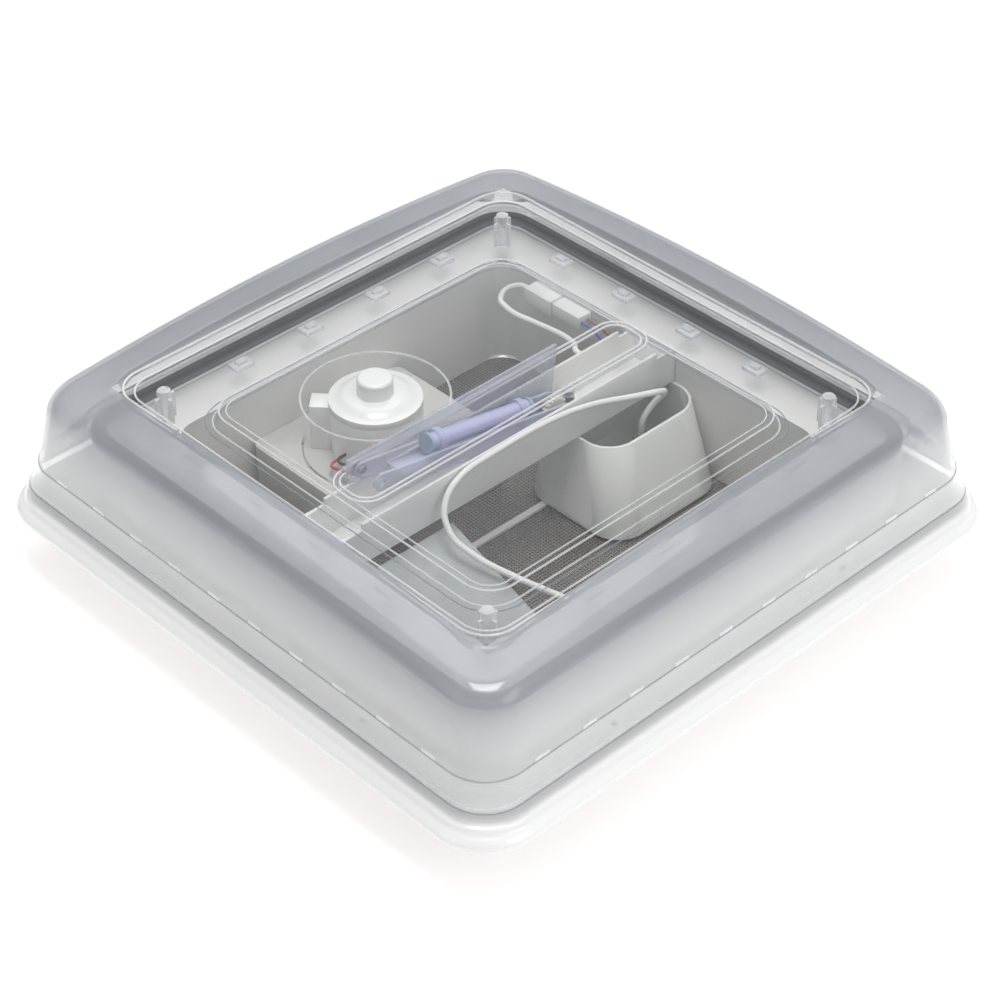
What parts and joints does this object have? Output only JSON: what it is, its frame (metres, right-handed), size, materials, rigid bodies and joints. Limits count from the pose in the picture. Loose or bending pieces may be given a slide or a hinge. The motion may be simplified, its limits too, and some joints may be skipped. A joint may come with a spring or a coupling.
{
  "type": "caravan roof vent",
  "caption": "Square caravan roof vent with a clear double-skin dome lid on a hinge, crank-driven lift arm, fan with motor, fly screen and a white flanged roof frame.",
  "frame": {"origin": "centre of the roof cut-out in the plane of the flange's underside, the roof's outer skin", "axes": "+Z out of the roof, +Y towards the lid's hinge, X along the hinge"},
  "size_m": [0.5, 0.5, 0.1515],
  "materials": {
    "frame_white": "glossy",
    "gasket_foam": "closed-cell foam",
    "seal_black": "satin",
    "liner_cream": "satin",
    "screen_mesh": "coated glass-fibre mesh",
    "bridge_grey": "satin",
    "well_grey": "satin",
    "bush_black": "satin",
    "cap_blue": "glossy",
    "board_green": "satin",
    "housing_cream": "satin",
    "motor_white": "glossy",
    "steel": "brushed",
    "collar_clear": "clear",
    "plug_white": "satin",
    "cable_white": "satin",
    "lead_blue": "satin",
    "lead_brown": "satin",
    "lead_red": "satin",
    "lead_black": "satin",
    "lid_clear": "clear acrylic",
    "fitting_clear": "clear",
    "leaf_grey": "satin",
    "gear_nylon": "satin",
    "crank_grey": "satin",
    "rotor_black": "satin"
  },
  "bodies": {
    "frame": {"roof_frame": "frame_white", "roof_gasket": "gasket_foam", "frame_seal": "seal_black", "inner_liner": "liner_cream", "screen_frame": "liner_cream", "insect_screen": "screen_mesh", "bridge_beam": "bridge_grey", "worm_bush": "bush_black", "screen_bush": "bush_black", "winder_well": "well_grey", "control_board": "board_green", "fan_housing": "housing_cream", "motor_can": "motor_white", "motor_core": "steel", "motor_cap": "motor_white", "motor_feet": "steel", "splash_collar": "collar_clear", "connector_block": "plug_white", "loop_cable": "cable_white", "supply_cable": "cable_white", "blue_lead": "lead_blue", "brown_lead": "lead_brown", "red_lead": "lead_red", "black_lead": "lead_black", "corner_deflector": "collar_clear", "hinge_brackets": "bridge_grey"},
    "lid": {"lid_dome": "lid_clear", "inner_pane": "lid_clear", "corner_posts": "fitting_clear", "pane_clips": "fitting_clear", "hinge_leaves": "leaf_grey", "hinge_pins": "steel", "lift_track": "fitting_clear"},
    "arm": {"lift_arm": "fitting_clear", "arm_tube": "steel", "tube_caps": "cap_blue", "arm_axle": "steel", "worm_wheel": "gear_nylon"},
    "slider": {"track_slider": "fitting_clear", "slider_pin": "steel"},
    "crank": {"worm_shaft": "steel", "crank_handle": "crank_grey", "knob_pin": "steel"},
    "knob": {"crank_knob": "crank_grey"},
    "fan": {"fan_rotor": "rotor_black", "motor_shaft": "steel"}
  },
  "joints": [
    {"name": "lid_hinge", "type": "hinge", "parent": "frame", "child": "lid", "pos_m": [0, 0.226, 0.036], "axis": [-1, 0, 0], "range_deg": [0, 50]},
    {"name": "arm_pivot", "type": "hinge", "parent": "frame", "child": "arm", "pos_m": [0, 0.056, 0.058], "axis": [-1, 0, 0], "range_deg": [0, 100]},
    {"name": "slider_pivot", "type": "hinge", "parent": "arm", "child": "slider", "pos_m": [0, -0.1124, 0.09], "axis": [-1, 0, 0], "range_deg": [-50, 0]},
    {"name": "crank_turn", "type": "hinge", "parent": "frame", "child": "crank", "pos_m": [0, 0.071, 0], "axis": [0, 0, 1], "range_deg": [0, 2000]},
    {"name": "knob_spin", "type": "hinge", "parent": "crank", "child": "knob", "pos_m": [0, 0.026, -0.034], "axis": [0, 0, 1], "continuous": true},
    {"name": "fan_spin", "type": "hinge", "parent": "frame", "child": "fan", "pos_m": [-0.095, -0.026, 0], "axis": [0, 0, 1], "continuous": true}
  ],
  "couplings": [
    {"joint": "arm_pivot", "follows": "lid_hinge", "ratio": 2},
    {"joint": "slider_pivot", "follows": "lid_hinge", "ratio": -1},
    {"joint": "crank_turn", "follows": "lid_hinge", "ratio": 40}
  ]
}
